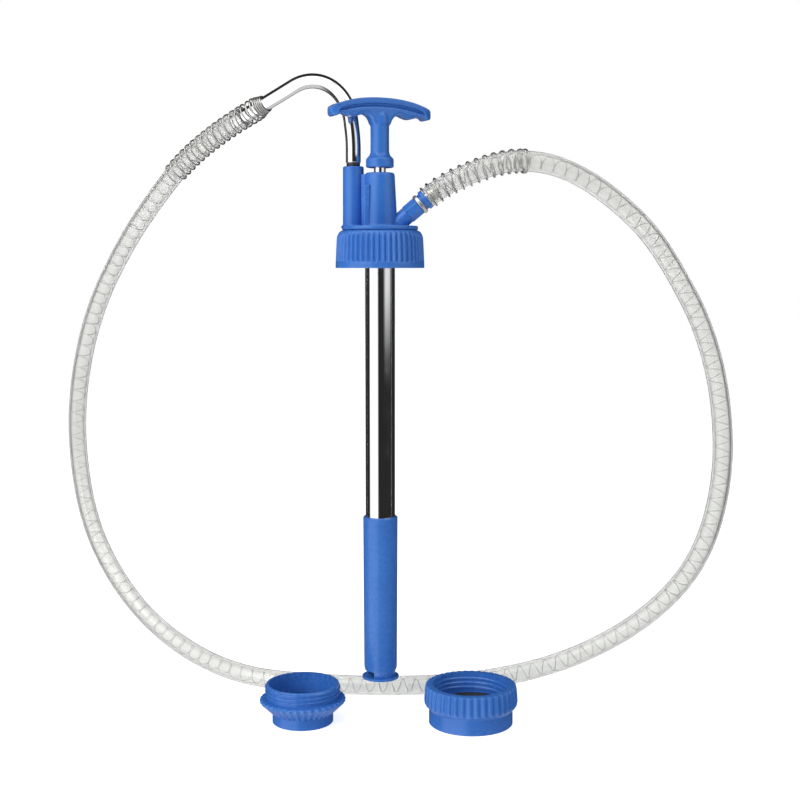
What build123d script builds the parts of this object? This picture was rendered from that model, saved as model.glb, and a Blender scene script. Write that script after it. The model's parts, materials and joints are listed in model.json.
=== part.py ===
"""Hand transfer pump for pails and small drums: a lift pump with a T-handle, a screw collar, a
steel barrel with a foot valve, a wire-reinforced hose with a parked gooseneck spout, and two
container adapters.  Millimetres, +Z up, origin at the centre of the collar's open mouth.
"""

import os
from math import cos, pi, radians, sin, tan

from build123d import *

os.makedirs("parts", exist_ok=True)

# ---------------------------------------------------------------- driving dimensions
# running and standing gaps
FIT = 0.05              # radial clearance of a running fit
GAP = 0.3               # space between separate moving bodies

# screw collar
COLLAR_R = 37.7         # outside, at the mouth
COLLAR_TOP_R = 36.6     # outside, under the shoulder
COLLAR_SHOULDER_Z = 25.5
COLLAR_H = 31.6
COLLAR_BORE_R = 32.6    # root of the container thread
COLLAR_BORE_H = 25.0
COLLAR_HOLE_R = 26.4    # runs on the head's neck
BASE_BAND = 5.0         # plain band at the mouth
GRIP_RIBS = 48

# head
DISC_R = 32.3
DISC_Z = COLLAR_H + GAP
DISC_T = 3.5
NECK_R = 26.0
NECK_BOTTOM = 19.5
BOSS_R = 15.5
BOSS_BOTTOM = 9.0
TOWER_R = 15.0
TOWER_TOP = 80.0
TOWER_TAPER = 3.0
CHAMBER_R = 11.6
CHAMBER_TOP = 60.0
BUSH_R = 8.0
BUSH_BOTTOM = 68.0
PARK_X, PARK_Y = -22.6, 5.5     # axis of the spout-parking tower
PARK_R = 9.1
PARK_TOP = 85.6
SOCKET_R = 6.9
SOCKET_BOTTOM = 52.0

# barrel and foot
BARREL_R = 12.7
BARREL_BORE_R = 11.8
BARREL_TOP = 28.0
BARREL_BOTTOM = -300.0
SLEEVE_TOP = -213.8
SLEEVE_R = 14.9
SLEEVE_FOOT_R = 14.3
WINDOW_TOP = -349.5
FOOT_TOP = -354.8
FOOT_BOTTOM = -356.8
FOOT_R = 16.0
FOOT_BORE_R = 11.4
SEAT_TOP = -326.0
SEAT_R = 7.0
BALL_R = 8.0
BALL_LIFT = 5.0
LEG_TURN = 24.5         # degrees, where the through-slot that makes the legs points

# rod, piston and handle
ROD_R = 5.0
ROD_BOTTOM = -296.0
PISTON_TOP = -262.0
PISTON_H = 24.0
SHOULDER_R = 3.5        # the rod's thin end, which carries the piston
SEAL_R = 9.4            # bottom of the seal's groove
SEAL_H = 8.0
SEAL_UP = 8.0           # groove above the piston's bottom
VALVE_R = 9.0
VALVE_BORE_R = 4.2
VALVE_T = 1.5
VALVE_TRAVEL = 3.0
WASHER_T = 1.5
NUT_H = 5.0
NUT_HALF_AF = 6.5
HUB_BOTTOM = 84.3
HUB_R = 11.75
HUB_H = 6.6             # straight height, before it draws in to the stem
HUB_DRAW_H = 12.4
STEM_R = 7.9
ROD_SOCKET_DEPTH = 24.0
PIN_R = 1.5
PIN_Z = HUB_BOTTOM + 14.0
HANDLE_YAW = 26.0       # degrees, the grip's left end turned towards the front
GRIP_TOP = 141.8
GRIP_END_U = 42.3       # from the rod's axis to the end knob's centre
GRIP_END_Z = 129.7
GRIP_END_R = 4.5
RIM_HALF = 7.4
RIM_H = 4.6             # depth of the rim at the bar's middle
WEB_HALF = 5.8
KNOB_R = 5.0            # the bar's end corners, seen from above

# outlet and hose
OUTLET_RISE = 40.4      # degrees above the horizontal
OUTLET_END = (39.6, 0.0, 58.5)
SPIGOT_R = 7.25
SPIGOT_TIP_R = 5.5      # enters the connector
SPIGOT_TIP_LENGTH = 8.4
SPIGOT_BACK = 42.0      # from the hose's face back into the tower
OUTLET_BORE_R = 4.2
OUTLET_BORE_BACK = 38.0
CONNECTOR_LENGTH = 20.9
NUT_LENGTH = 11.8
NUT_HALF_FLATS = 7.75
CONNECTOR_NECK_R = 7.4
CONNECTOR_BORE_DEPTH = 10.0     # takes the spigot's tip and the o-ring
FLANGE_R = 8.8
FLANGE_T = 3.0
SWIVEL_R = 8.85
SWIVEL_BACK = 8.9
SWIVEL_WIDTH = 3.3
BARB_ROOT = 6.0         # metal barb pressed into the connector
BARB_ROOT_R = 5.6
BARB_LENGTH = 12.0
HOSE_R = 8.75
HOSE_BORE_R = 6.4
SPRING_BORE_R = 9.1
SPRING_R = 10.65

# gooseneck spout
SPOUT_R = 6.35
SPOUT_BORE_R = 5.2
SPOUT_BOTTOM = 88.5
SPOUT_KNEE_Z = 108.0            # where the upright leg starts to lean over
SPOUT_KNEE_R = 120.0
SPOUT_LEAN = 8.0                # degrees
SPOUT_BEND_R = 42.0
SPOUT_APEX_Z = 182.5            # where the parking axis and the end's line meet
SPOUT_HEADING = (-0.869, 0.495) # horizontal direction of the bend
SPOUT_DROP = 23.3               # degrees below the horizontal at the end
SPOUT_REACH = 124.0             # from the meeting point to the hose's end
SPOUT_IN_HOSE = 12.0
SPOUT_IN_SPRING = 26.0

# container adapters
FLOOR_Z = -390.0
ADAPTER_H = 34.0
MALE_X, MALE_Y = -67.0, -19.0
FEMALE_X, FEMALE_Y = 78.0, -22.0
MALE_RIBS = 36
FEMALE_RIBS = 40
MALE_THREAD_R = 32.4    # crest, fits the collar's bore
MALE_BORE_R = 22.6      # for a small container neck
MALE_WEB_Z = -22.0      # gasket seat, from the adapter's top
FEMALE_TOP_R = 32.7
FEMALE_FOOT_R = 32.2
FEMALE_SEAT_R = 31.5    # recess for the gasket, under the top thread
FEMALE_THROAT_R = 27.0
FEMALE_SEAT_Z = -19.5   # from the adapter's top
FEMALE_WEB_Z = -22.5
GASKET_T = 2.0


def save(part, name):
    """Label one piece and write it as its own STEP file."""
    part.label = name
    export_step(part, f"parts/{name}.step")


def along(start, direction, distance):
    return tuple(s + d * distance for s, d in zip(start, direction))


# ---------------------------------------------------------------- points shared by several pieces
outlet_direction = (cos(radians(OUTLET_RISE)), 0.0, sin(radians(OUTLET_RISE)))
outlet_plane = Plane(origin=OUTLET_END, x_dir=(0, 1, 0), z_dir=outlet_direction)
spout_direction = (
    SPOUT_HEADING[0] * cos(radians(SPOUT_DROP)),
    SPOUT_HEADING[1] * cos(radians(SPOUT_DROP)),
    -sin(radians(SPOUT_DROP)),
)
spout_apex = (PARK_X, PARK_Y, SPOUT_APEX_Z)
# the leaning leg meets the end's line a little lower and further out
lean, drop = tan(radians(SPOUT_LEAN)), tan(radians(SPOUT_DROP))
spout_corner_z = (SPOUT_APEX_Z + drop * lean * SPOUT_KNEE_Z) / (1 + drop * lean)
spout_corner_out = (spout_corner_z - SPOUT_KNEE_Z) * lean
spout_corner = (
    PARK_X + SPOUT_HEADING[0] * spout_corner_out,
    PARK_Y + SPOUT_HEADING[1] * spout_corner_out,
    spout_corner_z,
)
spout_hose_end = along(spout_apex, spout_direction, SPOUT_REACH)
spout_tube_end = along(spout_hose_end, spout_direction, SPOUT_IN_HOSE)
spout_spring_start = along(spout_hose_end, spout_direction, -SPOUT_IN_SPRING)

# The hose's route from the connector, over to the right, down, along the floor and up the left.
hose_route = [
    OUTLET_END,
    (59.4, 0, 75.35),
    (86, 2, 86.8),
    (116, 8.5, 91.5),
    (148, 19, 89),
    (179, 31, 77),
    (209, 41, 57),
    (238, 47, 31),
    (263, 49, -6),
    (288, 46, -54),
    (303, 40, -115),
    (305, 33, -187),
    (286, 31, -260),
    (242, 43, -316),
    (175, 54, -358),
    (97, 50, -376.5),
    (18, 49, -381.2),
    (-62, 57, -381.2),
    (-137, 82, -381.2),
    (-204, 124, -361),
    (-258, 163, -322),
    (-299, 196, -261),
    (-315, 214, -180),
    (-308, 205, -108),
    (-285, 184, -37),
    (-245, 148, 26),
    (-208, 117, 69),
    (-178.5, 96, 99),
    (-142.24, 73.65, 123.21),
    spout_hose_end,
]
SPOUT_SIDE_POINTS = 3   # route points that stay with the spout when it is lifted out
OUTLET_SPRING_POINTS = 4
OUTLET_SPRING_PAST = 14.5


def corner_radii(points):
    """Arc radius of each corner: 0.45 of the shorter run over the tangent of half the turn."""
    radii = []
    for before, corner, after in zip(points, points[1:], points[2:]):
        run_in = Vector(*corner) - Vector(*before)
        run_out = Vector(*after) - Vector(*corner)
        half_turn = radians(run_in.get_angle(run_out) / 2)
        radii.append(0.45 * min(run_in.length, run_out.length) / tan(half_turn))
    return radii


hose_radii = corner_radii(hose_route)
print("hose radii:", " ".join(f"{r:.0f}" for r in hose_radii))

split = len(hose_route) - SPOUT_SIDE_POINTS
split_point = tuple((a + b) / 2 for a, b in zip(hose_route[split - 1], hose_route[split]))
main_route = hose_route[:split] + [split_point]
main_radii = hose_radii[: split - 1]
end_route = [split_point] + hose_route[split:]
end_radii = hose_radii[split - 1:]


def tube_along(points, radii, outer, bore):
    """A round tube swept along straight runs joined by tangent arcs."""
    first_run = Vector(*points[1]) - Vector(*points[0])
    with BuildPart() as tube:
        with BuildLine() as path:
            FilletPolyline(*points, radius=radii)
        with BuildSketch(Plane(origin=points[0], z_dir=first_run)):
            Circle(outer)
            Circle(bore, mode=Mode.SUBTRACT)
        sweep(path=path.line)
    length = sum(edge.length for edge in path.edges())
    section = pi * (outer**2 - bore**2)
    print(f"tube: length {length:.1f}, volume over section x length"
          f" {tube.part.volume / (section * length):.4f}")
    return tube.part


def ring(outer, inner, bottom, top, centre=(0, 0)):
    """A plain turned ring about a vertical axis."""
    with BuildPart() as turned:
        with BuildSketch(Plane((centre[0], centre[1], bottom))):
            Circle(outer)
            if inner:
                Circle(inner, mode=Mode.SUBTRACT)
        extrude(amount=top - bottom)
    return turned.part


# ---------------------------------------------------------------- head
with BuildPart() as pump_head:
    with BuildSketch(Plane.XY.offset(DISC_Z)):
        Circle(DISC_R)
    extrude(amount=DISC_T)
    with BuildSketch(Plane.XY.offset(NECK_BOTTOM)):
        Circle(NECK_R)
    extrude(amount=DISC_Z - NECK_BOTTOM)
    with BuildSketch(Plane.XY.offset(BOSS_BOTTOM)):
        Circle(BOSS_R)
    extrude(amount=NECK_BOTTOM - BOSS_BOTTOM)
    disc_top = DISC_Z + DISC_T
    with BuildSketch(Plane.XY.offset(disc_top)):
        Circle(TOWER_R)
    extrude(amount=TOWER_TOP - disc_top, taper=TOWER_TAPER)
    tower_rim = pump_head.edges().group_by(Axis.Z)[-1]
    fillet(tower_rim, radius=1.8)
    with BuildSketch(Plane((PARK_X, PARK_Y, disc_top))):
        Circle(PARK_R)
    extrude(amount=PARK_TOP - disc_top, taper=0.35)
    park_rim = pump_head.edges().group_by(Axis.Z)[-1]
    fillet(park_rim, radius=0.8)
    # web between the towers, a little behind the pump tower's front
    with BuildSketch(Plane((PARK_X / 2, PARK_Y / 2 + 0.6, disc_top))):
        Rectangle(-PARK_X, 9.0, rotation=-13.7)
    extrude(amount=TOWER_TOP - 1.0 - disc_top)
    # narrow rib standing in front of the web
    with BuildSketch(Plane((-10.9, -5.4, disc_top))):
        RectangleRounded(5.6, 14.0, 1.2)
    extrude(amount=69.8 - disc_top, taper=0.6)
    # outlet neck
    with BuildSketch(outlet_plane.offset(-SPIGOT_BACK)):
        Circle(SPIGOT_R)
    extrude(amount=SPIGOT_BACK - CONNECTOR_LENGTH)
    with BuildSketch(outlet_plane.offset(-CONNECTOR_LENGTH)):
        Circle(SPIGOT_TIP_R)
    extrude(amount=SPIGOT_TIP_LENGTH)
    # hollows: barrel socket, chamber, rod passage, bush seat, parking socket, outlet bore
    with BuildSketch(Plane.XY.offset(BOSS_BOTTOM)):
        Circle(BARREL_R + FIT)
    extrude(amount=BARREL_TOP - BOSS_BOTTOM, mode=Mode.SUBTRACT)
    with BuildSketch(Plane.XY.offset(BARREL_TOP)):
        Circle(CHAMBER_R)
    extrude(amount=CHAMBER_TOP - BARREL_TOP, mode=Mode.SUBTRACT)
    with BuildSketch(Plane.XY.offset(CHAMBER_TOP)):
        Circle(BUSH_R)
    extrude(amount=TOWER_TOP - CHAMBER_TOP, mode=Mode.SUBTRACT)
    with BuildSketch(Plane((PARK_X, PARK_Y, SOCKET_BOTTOM))):
        Circle(SOCKET_R)
    extrude(amount=PARK_TOP - SOCKET_BOTTOM, mode=Mode.SUBTRACT)
    with BuildSketch(outlet_plane.offset(-OUTLET_BORE_BACK)):
        Circle(OUTLET_BORE_R)
    extrude(amount=OUTLET_BORE_BACK, mode=Mode.SUBTRACT)
save(pump_head.part, "pump_head")

save(ring(BUSH_R, ROD_R + FIT, BUSH_BOTTOM, TOWER_TOP), "rod_bush")
save(ring(BUSH_R, ROD_R + GAP, CHAMBER_TOP, BUSH_BOTTOM), "rod_wiper")
save(ring(SOCKET_R, 5.3, SOCKET_BOTTOM, PARK_TOP - 1.2, (PARK_X, PARK_Y)), "socket_liner")
save(ring(31.9, NECK_R, NECK_BOTTOM, 23.5), "retainer_ring")
save(ring(31.9, 23.0, NECK_BOTTOM - 2.0, NECK_BOTTOM), "container_gasket")
save(ring(CHAMBER_R, 10.0, BARREL_TOP, BARREL_TOP + 1.6), "barrel_oring")

with BuildPart() as barrel_nut:
    with BuildSketch(Plane.XY.offset(6.0)):
        RegularPolygon(radius=19.0, side_count=6, major_radius=False)
        Circle(BARREL_R + FIT, mode=Mode.SUBTRACT)
    extrude(amount=11.0)
    with BuildSketch(Plane.XY.offset(BOSS_BOTTOM)):
        Circle(BOSS_R)
    extrude(amount=17.0 - BOSS_BOTTOM, mode=Mode.SUBTRACT)
    with BuildSketch(Plane.XZ):
        with BuildLine():
            Polyline((20.2, 5.9), (23.0, 5.9), (23.0, 7.6), (20.2, 5.9))
        make_face()
    revolve(axis=Axis.Z, mode=Mode.SUBTRACT)
save(barrel_nut.part, "barrel_nut")

# ---------------------------------------------------------------- screw collar
with BuildPart() as collar_nut:
    with BuildSketch(Plane.XZ):
        with BuildLine():
            Polyline(
                (COLLAR_HOLE_R, COLLAR_BORE_H),
                (COLLAR_BORE_R, COLLAR_BORE_H),
                (COLLAR_BORE_R, 1.0),
                (COLLAR_BORE_R + 1.0, 0),
                (COLLAR_R - 0.5, 0),
                (COLLAR_R, 0.5),
                (COLLAR_R, BASE_BAND),
                (COLLAR_TOP_R, COLLAR_SHOULDER_Z),
            )
            ThreePointArc(
                (COLLAR_TOP_R, COLLAR_SHOULDER_Z),
                (COLLAR_TOP_R - 1.5, COLLAR_H - 1.9),
                (COLLAR_TOP_R - 4.8, COLLAR_H),
            )
            Polyline(
                (COLLAR_TOP_R - 4.8, COLLAR_H),
                (COLLAR_HOLE_R, COLLAR_H),
                (COLLAR_HOLE_R, COLLAR_BORE_H),
            )
        make_face()
    revolve(axis=Axis.Z)
    groove_lean = -3.1
    with PolarLocations(0, GRIP_RIBS):
        with Locations(Location((COLLAR_R + 0.95, 0, BASE_BAND), (0, groove_lean, 0))):
            Cylinder(
                1.85, 24.5, align=(Align.CENTER, Align.CENTER, Align.MIN), mode=Mode.SUBTRACT
            )
save(collar_nut.part, "collar_nut")

# ---------------------------------------------------------------- barrel, sleeve and foot valve
save(ring(BARREL_R, BARREL_BORE_R, BARREL_BOTTOM, BARREL_TOP), "barrel_tube")

with BuildPart() as inlet_sleeve:
    with BuildSketch(Plane.XZ):
        with BuildLine():
            Polyline(
                (BARREL_R + FIT, SLEEVE_TOP),
                (SLEEVE_R - 0.6, SLEEVE_TOP),
                (SLEEVE_R, SLEEVE_TOP - 0.6),
                (SLEEVE_FOOT_R, WINDOW_TOP + 2.5),
                (SLEEVE_FOOT_R - 1.8, FOOT_TOP),
                (FOOT_R - 0.4, FOOT_TOP),
                (FOOT_R, FOOT_TOP - 0.4),
                (FOOT_R, FOOT_BOTTOM + 0.4),
                (FOOT_R - 0.4, FOOT_BOTTOM),
                (0, FOOT_BOTTOM),
                (0, FOOT_TOP),
                (FOOT_BORE_R, FOOT_TOP),
                (FOOT_BORE_R, BARREL_BOTTOM),
                (BARREL_R + FIT, BARREL_BOTTOM),
                (BARREL_R + FIT, SLEEVE_TOP),
            )
        make_face()
    revolve(axis=Axis.Z)
    slot_width = 17.8
    with BuildSketch(Plane.XY.offset(FOOT_TOP)):
        Rectangle(40, slot_width, rotation=LEG_TURN)
    extrude(amount=WINDOW_TOP - FOOT_TOP, mode=Mode.SUBTRACT)
save(inlet_sleeve.part, "inlet_sleeve")

save(ring(FOOT_BORE_R, 9.8, BARREL_BOTTOM - 1.6, BARREL_BOTTOM), "sleeve_oring")

with BuildPart() as foot_valve_seat:
    with BuildSketch(Plane.XY.offset(SEAT_TOP - 8.0)):
        Circle(FOOT_BORE_R)
        Circle(SEAT_R, mode=Mode.SUBTRACT)
    extrude(amount=8.0)
save(foot_valve_seat.part, "foot_valve_seat")

ball_centre = SEAT_TOP + (BALL_R**2 - SEAT_R**2) ** 0.5 + 0.05
with BuildPart() as foot_valve_ball:
    with Locations((0, 0, ball_centre)):
        Sphere(BALL_R)
save(foot_valve_ball.part, "foot_valve_ball")

cage_bottom = ball_centre + BALL_R + BALL_LIFT + GAP
with BuildPart() as foot_valve_cage:
    with BuildSketch(Plane.XY.offset(cage_bottom)):
        Circle(FOOT_BORE_R)
        Circle(FOOT_BORE_R - 1.8, mode=Mode.SUBTRACT)
        Rectangle(2 * FOOT_BORE_R - 1.6, 3.0)
        Rectangle(3.0, 2 * FOOT_BORE_R - 1.6)
    extrude(amount=3.0)
save(foot_valve_cage.part, "foot_valve_cage")

# ---------------------------------------------------------------- piston and rod
piston_bottom = PISTON_TOP - PISTON_H
seal_bottom = piston_bottom + SEAL_UP
with BuildPart() as piston_body:
    with BuildSketch(Plane.XY.offset(piston_bottom)):
        Circle(BARREL_BORE_R - 0.4)
    extrude(amount=PISTON_H)
    with BuildSketch(Plane.XY.offset(seal_bottom)):
        Circle(BARREL_BORE_R)
        Circle(SEAL_R, mode=Mode.SUBTRACT)
    extrude(amount=SEAL_H, mode=Mode.SUBTRACT)
    with BuildSketch(Plane.XY.offset(piston_bottom)):
        Circle(SHOULDER_R + FIT)
    extrude(amount=PISTON_H, mode=Mode.SUBTRACT)
    with BuildSketch(Plane.XY.offset(piston_bottom)):
        with PolarLocations(6.4, 6):
            Circle(1.5)
    extrude(amount=PISTON_H, mode=Mode.SUBTRACT)
save(piston_body.part, "piston_body")

save(ring(BARREL_BORE_R - 0.1, SEAL_R, seal_bottom, seal_bottom + SEAL_H), "piston_seal")
save(ring(VALVE_R, SHOULDER_R + FIT, piston_bottom - WASHER_T, piston_bottom), "piston_washer")

with BuildPart() as piston_valve_disc:
    with BuildSketch(Plane.XY.offset(PISTON_TOP)):
        Circle(VALVE_R)
        Circle(VALVE_BORE_R, mode=Mode.SUBTRACT)
    extrude(amount=VALVE_T)
save(piston_valve_disc.part, "piston_valve_disc")

# the rod's shoulder is above the valve disc's travel, on a thin end that carries the piston
shoulder_z = PISTON_TOP + VALVE_T + VALVE_TRAVEL + GAP
with BuildPart() as piston_rod:
    with BuildSketch(Plane.XY.offset(shoulder_z)):
        Circle(ROD_R)
    extrude(amount=HUB_BOTTOM + ROD_SOCKET_DEPTH - shoulder_z)
    with BuildSketch(Plane.XY.offset(ROD_BOTTOM)):
        Circle(SHOULDER_R)
    extrude(amount=shoulder_z - ROD_BOTTOM)
    with BuildSketch(Plane.XZ.offset(-20)):
        with Locations((0, PIN_Z)):
            Circle(PIN_R)
    extrude(amount=40, mode=Mode.SUBTRACT)
save(piston_rod.part, "piston_rod")

with BuildPart() as rod_nut:
    with BuildSketch(Plane.XY.offset(piston_bottom - WASHER_T - GAP - NUT_H)):
        RegularPolygon(radius=NUT_HALF_AF, side_count=6, major_radius=False)
        Circle(SHOULDER_R, mode=Mode.SUBTRACT)
    extrude(amount=NUT_H)
save(rod_nut.part, "rod_nut")

save(ring(8.6, ROD_R, shoulder_z + 2.0, shoulder_z + 8.0), "stop_buffer")

# ---------------------------------------------------------------- handle
yaw_cos, yaw_sin = cos(radians(HANDLE_YAW)), sin(radians(HANDLE_YAW))
grip_plane = Plane(
    origin=(0, 0, 0), x_dir=(yaw_cos, yaw_sin, 0), z_dir=(yaw_sin, -yaw_cos, 0)
)
end_top = GRIP_END_Z + GRIP_END_R
end_bottom = GRIP_END_Z - GRIP_END_R
end_tip = GRIP_END_U + GRIP_END_R
rim_inner_u, rim_inner_z = GRIP_END_U - 2.5, GRIP_END_Z - 1.0
stem_top = 112.0        # the bar's outline runs down to here, inside the turned stem


def grip_outline(side):
    """Right or left half of the T-bar's outline, from the top's middle down to the stem."""
    ThreePointArc(
        (0, GRIP_TOP), (side * 24.5, GRIP_TOP - 1.9), (side * GRIP_END_U, end_top)
    )
    ThreePointArc(
        (side * GRIP_END_U, end_top), (side * end_tip, GRIP_END_Z), (side * GRIP_END_U, end_bottom)
    )
    Spline(
        (side * GRIP_END_U, end_bottom),
        (side * 35.5, 127.5),
        (side * 26.0, 125.4),
        (side * 15.5, 127.8),
        (side * STEM_R, 119.0),
        tangents=[(-side, 0.2), (0, -1)],
    )
    Line((side * STEM_R, 119.0), (side * STEM_R, stem_top))


with BuildPart() as handle_grip:
    with BuildSketch(grip_plane):
        with BuildLine():
            grip_outline(1)
            grip_outline(-1)
            Line((-STEM_R, stem_top), (STEM_R, stem_top))
        make_face()
    extrude(amount=WEB_HALF, both=True)
    # rim along the top and round the ends, its corners rounded as seen from above
    with BuildPart() as rim:
        with BuildSketch(grip_plane):
            with BuildLine():
                ThreePointArc((-GRIP_END_U, end_top), (0, GRIP_TOP), (GRIP_END_U, end_top))
                ThreePointArc(
                    (GRIP_END_U, end_top), (end_tip, GRIP_END_Z), (GRIP_END_U, end_bottom)
                )
                Line((GRIP_END_U, end_bottom), (rim_inner_u, rim_inner_z))
                ThreePointArc(
                    (rim_inner_u, rim_inner_z),
                    (0, GRIP_TOP - RIM_H),
                    (-rim_inner_u, rim_inner_z),
                )
                Line((-rim_inner_u, rim_inner_z), (-GRIP_END_U, end_bottom))
                ThreePointArc(
                    (-GRIP_END_U, end_bottom), (-end_tip, GRIP_END_Z), (-GRIP_END_U, end_top)
                )
            make_face()
        extrude(amount=RIM_HALF, both=True)
        with BuildSketch(Plane.XY.offset(end_bottom - 1.0)):
            RectangleRounded(2 * end_tip, 2 * RIM_HALF, KNOB_R, rotation=HANDLE_YAW)
        extrude(amount=GRIP_TOP - end_bottom + 2.0, mode=Mode.INTERSECT)
    # stem and hub, turned
    with BuildSketch(Plane.XZ):
        with BuildLine():
            Polyline(
                (0, HUB_BOTTOM),
                (HUB_R - 0.6, HUB_BOTTOM),
                (HUB_R, HUB_BOTTOM + 0.6),
                (HUB_R, HUB_BOTTOM + HUB_H),
            )
            Spline(
                (HUB_R, HUB_BOTTOM + HUB_H),
                (HUB_R - 1.1, HUB_BOTTOM + 8.0),
                (STEM_R + 0.8, HUB_BOTTOM + 10.0),
                (STEM_R, HUB_BOTTOM + HUB_DRAW_H),
                tangents=[(0, 1), (0, 1)],
            )
            Polyline((STEM_R, HUB_BOTTOM + HUB_DRAW_H), (STEM_R, 126.0), (0, 126.0), (0, HUB_BOTTOM))
        make_face()
    revolve(axis=Axis.Z)
    with BuildSketch(Plane.XY.offset(HUB_BOTTOM)):
        Circle(ROD_R)
    extrude(amount=ROD_SOCKET_DEPTH, mode=Mode.SUBTRACT)
    with BuildSketch(Plane.XZ.offset(-20)):
        with Locations((0, PIN_Z)):
            Circle(PIN_R)
    extrude(amount=40, mode=Mode.SUBTRACT)
save(handle_grip.part, "handle_grip")

with BuildPart() as handle_pin:
    with BuildSketch(Plane.XZ.offset(-(STEM_R - 0.4))):
        with Locations((0, PIN_Z)):
            Circle(PIN_R)
    extrude(amount=2 * (STEM_R - 0.4))
save(handle_pin.part, "handle_pin")

# ---------------------------------------------------------------- hose connector
with BuildPart() as hose_connector:
    with BuildSketch(outlet_plane.offset(-CONNECTOR_LENGTH)):
        RegularPolygon(radius=NUT_HALF_FLATS, side_count=8, major_radius=False)
    extrude(amount=NUT_LENGTH)
    neck_length = CONNECTOR_LENGTH - NUT_LENGTH
    with BuildSketch(outlet_plane.offset(-neck_length)):
        Circle(CONNECTOR_NECK_R)
    extrude(amount=neck_length)
    with BuildSketch(outlet_plane.offset(-FLANGE_T)):
        Circle(FLANGE_R)
    extrude(amount=FLANGE_T)
    with BuildSketch(outlet_plane.offset(-CONNECTOR_LENGTH)):
        Circle(SPIGOT_TIP_R)
    extrude(amount=CONNECTOR_BORE_DEPTH, mode=Mode.SUBTRACT)
    with BuildSketch(outlet_plane.offset(-OUTLET_BORE_BACK)):
        Circle(OUTLET_BORE_R)
    extrude(amount=OUTLET_BORE_BACK, mode=Mode.SUBTRACT)
    with BuildSketch(outlet_plane.offset(-BARB_ROOT)):
        Circle(BARB_ROOT_R)
    extrude(amount=BARB_ROOT, mode=Mode.SUBTRACT)
save(hose_connector.part, "hose_connector")

with BuildPart() as barb_insert:
    with BuildSketch(outlet_plane.offset(-BARB_ROOT)):
        Circle(BARB_ROOT_R)
    extrude(amount=BARB_ROOT)
    with BuildSketch(outlet_plane):
        Circle(HOSE_BORE_R - FIT)
    extrude(amount=BARB_LENGTH)
    with BuildSketch(outlet_plane.offset(-BARB_ROOT)):
        Circle(OUTLET_BORE_R)
    extrude(amount=BARB_ROOT + BARB_LENGTH, mode=Mode.SUBTRACT)
save(barb_insert.part, "barb_insert")

with BuildPart() as swivel_ring:
    with BuildSketch(outlet_plane.offset(-SWIVEL_BACK)):
        Circle(SWIVEL_R)
        Circle(CONNECTOR_NECK_R, mode=Mode.SUBTRACT)
    extrude(amount=SWIVEL_WIDTH)
    fillet(swivel_ring.edges().filter_by(GeomType.CIRCLE).sort_by(SortBy.RADIUS)[-2:], radius=0.5)
save(swivel_ring.part, "swivel_ring")

with BuildPart() as connector_oring:
    with BuildSketch(outlet_plane.offset(SPIGOT_TIP_LENGTH - CONNECTOR_LENGTH)):
        Circle(SPIGOT_TIP_R)
        Circle(OUTLET_BORE_R, mode=Mode.SUBTRACT)
    extrude(amount=1.5)
save(connector_oring.part, "connector_oring")

# ---------------------------------------------------------------- hose and its spring guards
save(tube_along(main_route, main_radii, HOSE_R, HOSE_BORE_R), "hose_main")
save(tube_along(end_route, end_radii, HOSE_R, HOSE_BORE_R), "hose_end")

last_corner = hose_route[OUTLET_SPRING_POINTS - 1]
run_past = (Vector(*hose_route[OUTLET_SPRING_POINTS]) - Vector(*last_corner)).normalized()
outlet_spring_end = along(last_corner, tuple(run_past), OUTLET_SPRING_PAST)
outlet_spring_route = hose_route[:OUTLET_SPRING_POINTS] + [outlet_spring_end]
outlet_spring_radii = hose_radii[: OUTLET_SPRING_POINTS - 1]
save(
    tube_along(outlet_spring_route, outlet_spring_radii, SPRING_R, SPRING_BORE_R), "outlet_spring"
)
spout_spring_route = end_route[:-1] + [spout_spring_start]
save(tube_along(spout_spring_route, end_radii, SPRING_R, SPRING_BORE_R), "spout_spring")

# ---------------------------------------------------------------- gooseneck spout
with BuildPart() as spout_tube:
    with BuildLine() as neck:
        FilletPolyline(
            (PARK_X, PARK_Y, SPOUT_BOTTOM),
            (PARK_X, PARK_Y, SPOUT_KNEE_Z),
            spout_corner,
            spout_tube_end,
            radius=[SPOUT_KNEE_R, SPOUT_BEND_R],
        )
    with BuildSketch(Plane((PARK_X, PARK_Y, SPOUT_BOTTOM))):
        Circle(SPOUT_R)
        Circle(SPOUT_BORE_R, mode=Mode.SUBTRACT)
    sweep(path=neck.line)
    mouth = spout_tube.edges().group_by(Axis.Z)[0].sort_by(SortBy.RADIUS)[-1]
    chamfer(mouth, length=0.9)
save(spout_tube.part, "spout_tube")

with BuildPart() as spout_tip:
    with BuildSketch(Plane.XZ):
        with BuildLine():
            Polyline(
                (3.0, 56.0),
                (4.2, 56.0),
                (5.0, 60.0),
                (5.0, 86.2),
                (5.8, 86.2),
                (5.8, SPOUT_BOTTOM),
                (5.15, SPOUT_BOTTOM),
                (5.15, SPOUT_BOTTOM + 8.0),
                (3.0, SPOUT_BOTTOM + 8.0),
                (3.0, 56.0),
            )
        make_face()
    revolve(axis=Axis.Z)
spout_tip_part = Pos(PARK_X, PARK_Y, 0) * spout_tip.part
save(spout_tip_part, "spout_tip")

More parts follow.
